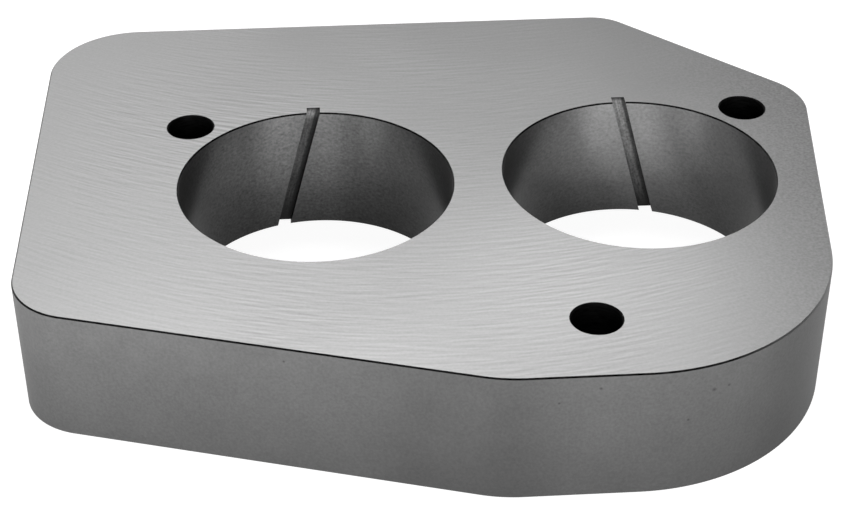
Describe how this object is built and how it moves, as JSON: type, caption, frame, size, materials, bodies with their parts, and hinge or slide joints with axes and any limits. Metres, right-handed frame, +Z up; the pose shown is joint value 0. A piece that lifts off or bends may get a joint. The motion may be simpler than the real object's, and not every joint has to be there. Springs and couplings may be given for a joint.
{
  "type": "throttle body spacer",
  "caption": "Thick flat aluminium plate that lifts a throttle body off its manifold: side-by-side air bores, an inclined slot in each bore wall, bolt holes near the rim.",
  "frame": {"origin": "midway between the axes of the two air bores, on the underside of the plate", "axes": "+Z up along the bores, from the manifold face to the throttle body face; +X from the left bore to the right bore; +Y to the rear, the side with the slots"},
  "size_m": [0.1499, 0.1228, 0.0254],
  "materials": {
    "plate": "face-milled top and underside, matt sawn and blasted sides, bored holes"
  },
  "bodies": {
    "root": {"spacer_plate": "plate"}
  },
  "joints": []
}
